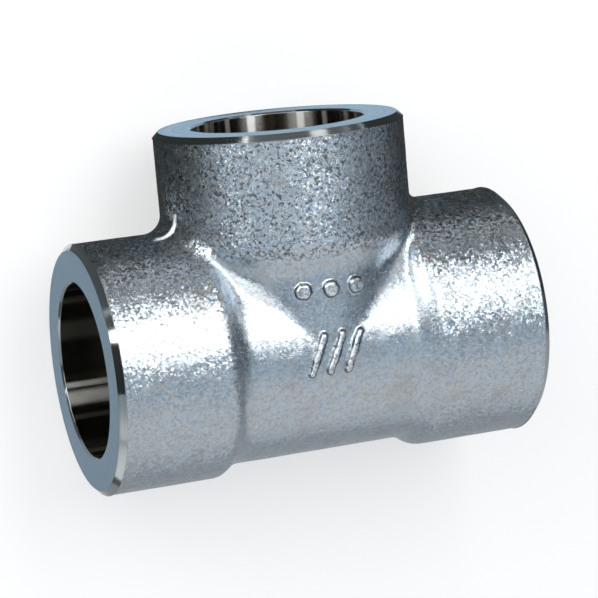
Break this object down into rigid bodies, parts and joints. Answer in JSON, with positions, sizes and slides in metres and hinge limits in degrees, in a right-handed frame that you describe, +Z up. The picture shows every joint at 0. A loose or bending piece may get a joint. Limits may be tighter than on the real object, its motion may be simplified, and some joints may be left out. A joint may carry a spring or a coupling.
{
  "type": "socket weld tee",
  "caption": "Forged steel pipe tee: equal run and branch at a right angle, each arm ending in a thick collar bored with a plain socket for a welded pipe.",
  "frame": {"origin": "on the bench that the three collars rest on, under the middle of the outline", "axes": "+X along the run, +Y along the branch towards its mouth, +Z up off the bench"},
  "size_m": [0.046, 0.0356, 0.0258],
  "materials": {
    "forged_stainless": "shot-blasted forging skin, turned end faces and bored sockets"
  },
  "bodies": {
    "root": {"tee_body": "forged_stainless"}
  },
  "joints": []
}
